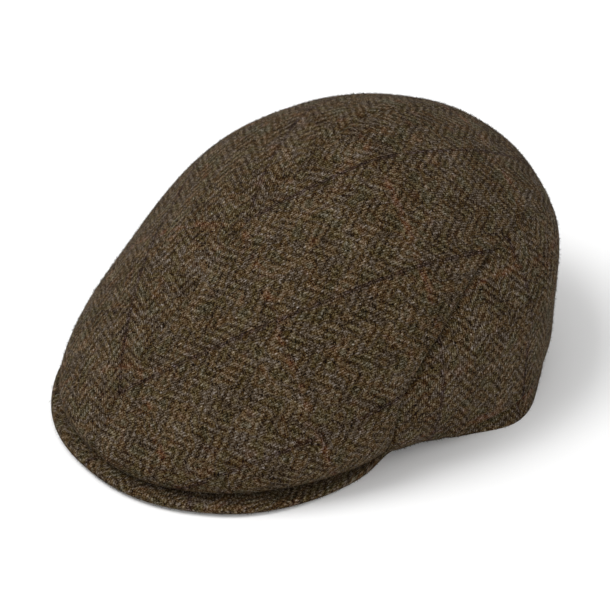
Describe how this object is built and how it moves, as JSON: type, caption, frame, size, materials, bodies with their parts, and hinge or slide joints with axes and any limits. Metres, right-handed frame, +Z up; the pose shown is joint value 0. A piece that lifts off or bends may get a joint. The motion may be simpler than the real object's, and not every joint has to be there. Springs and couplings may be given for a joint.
{
  "type": "flat cap",
  "caption": "Flat cap with a rounded crown of two mirrored halves, a back panel that wraps round the sides, and a short peak that the crown's front rests on; open head hollow.",
  "frame": {"origin": "middle of the cap's plan, on the surface it rests on", "axes": "-Y towards the peak, the front; +X towards the wearer's left; +Z up out of the crown"},
  "size_m": [0.2054, 0.261, 0.1265],
  "materials": {
    "tweed": "rough woven wool, matt",
    "peak_tweed": "rough woven wool pressed over a stiff board, matt"
  },
  "bodies": {
    "root": {"crown_left": "tweed", "crown_right": "tweed", "back_panel": "tweed", "peak": "peak_tweed"}
  },
  "joints": []
}
